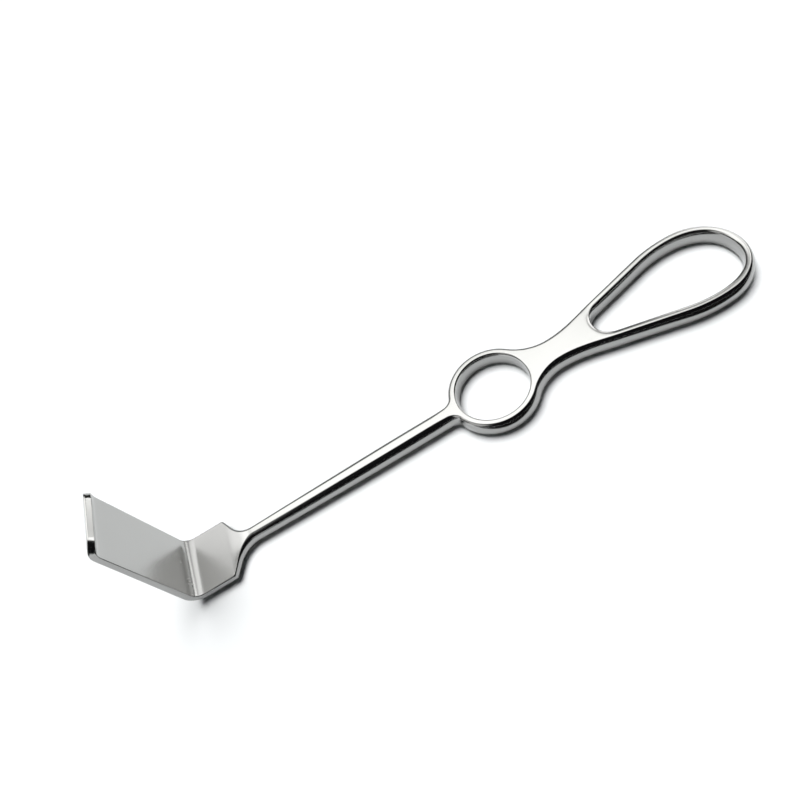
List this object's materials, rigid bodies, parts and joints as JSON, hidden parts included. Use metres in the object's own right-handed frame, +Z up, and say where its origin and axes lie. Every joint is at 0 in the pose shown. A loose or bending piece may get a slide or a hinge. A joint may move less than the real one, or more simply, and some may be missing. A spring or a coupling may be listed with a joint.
{
  "type": "handheld surgical retractor",
  "caption": "Handheld retractor with an open grip loop, a finger ring, a slim shank and a broad right-angled blade whose tip curls inwards.",
  "frame": {"origin": "centre of the finger ring's bore, halfway through the handle's thickness", "axes": "+X along the handle from the ring towards the grip loop's far end, +Z up along the ring's bore and the way the blade stands"},
  "size_m": [0.2103, 0.0324, 0.0524],
  "materials": {
    "polished_steel": "polished stainless steel with fine satin scratches"
  },
  "bodies": {
    "root": {"retractor": "polished_steel"}
  },
  "joints": []
}
